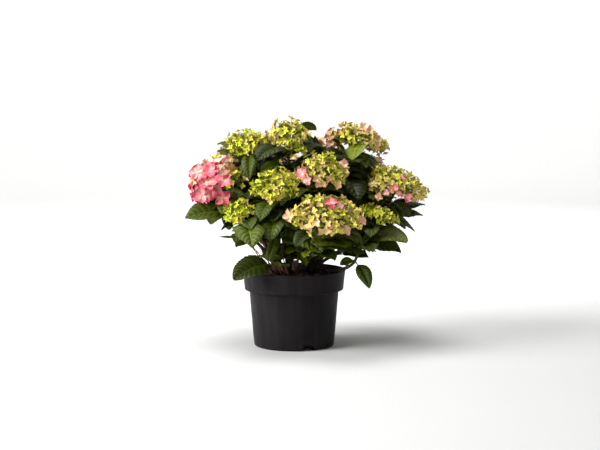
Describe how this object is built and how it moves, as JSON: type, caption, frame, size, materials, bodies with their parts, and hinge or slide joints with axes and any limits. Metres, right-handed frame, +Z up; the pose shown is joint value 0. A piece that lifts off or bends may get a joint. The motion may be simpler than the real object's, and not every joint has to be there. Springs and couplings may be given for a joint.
{
  "type": "potted hydrangea shrub",
  "caption": "Bushy mophead hydrangea with domed lime, cream and pink flower heads over broad toothed leaves, in a black nursery pot.",
  "frame": {"origin": "centre of the flat underside of the pot", "axes": "+Z up, +X to the right of the front view, +Y away from the viewer"},
  "size_m": [0.4491, 0.4282, 0.4235],
  "materials": {
    "pot": "satin moulded plastic",
    "compost": "rough moist bark and peat",
    "stub": "rough bark",
    "cane": "fibrous bark",
    "leaf": "satin leaf with sunken veins",
    "flower_lime": "soft matt petal",
    "flower_cream": "soft matt petal",
    "flower_pink": "soft matt petal"
  },
  "bodies": {
    "root": {"pot": "pot", "compost": "compost", "stub": "stub", "cane_pink_left": "cane", "leaves_pink_left": "leaf", "head_pink_left": "flower_pink", "cane_upper_left": "cane", "leaves_upper_left": "leaf", "head_upper_left": "flower_lime", "cane_top_middle": "cane", "leaves_top_middle": "leaf", "head_top_middle": "flower_lime", "cane_top_right": "cane", "leaves_top_right": "leaf", "head_top_right": "flower_cream", "cane_centre": "cane", "leaves_centre": "leaf", "head_centre": "flower_cream", "cane_mid_left": "cane", "leaves_mid_left": "leaf", "head_mid_left": "flower_lime", "cane_right": "cane", "leaves_right": "leaf", "head_right": "flower_cream", "cane_low_centre": "cane", "leaves_low_centre": "leaf", "head_low_centre": "flower_cream", "cane_low_left": "cane", "leaves_low_left": "leaf", "head_low_left": "flower_lime", "cane_low_right": "cane", "leaves_low_right": "leaf", "head_low_right": "flower_lime", "cane_upper_right": "cane", "leaves_upper_right": "leaf", "head_upper_right": "flower_cream", "cane_top_back": "cane", "leaves_top_back": "leaf", "head_top_back": "flower_cream", "cane_back_left": "cane", "leaves_back_left": "leaf", "head_back_left": "flower_cream", "cane_back_middle": "cane", "leaves_back_middle": "leaf", "head_back_middle": "flower_cream", "cane_back_right": "cane", "leaves_back_right": "leaf", "head_back_right": "flower_cream", "cane_low_back_left": "cane", "leaves_low_back_left": "leaf", "head_low_back_left": "flower_cream", "cane_low_back_right": "cane", "leaves_low_back_right": "leaf", "head_low_back_right": "flower_cream", "low_shoot_left": "leaf", "low_shoot_front": "leaf", "low_shoot_right": "leaf"}
  },
  "joints": []
}
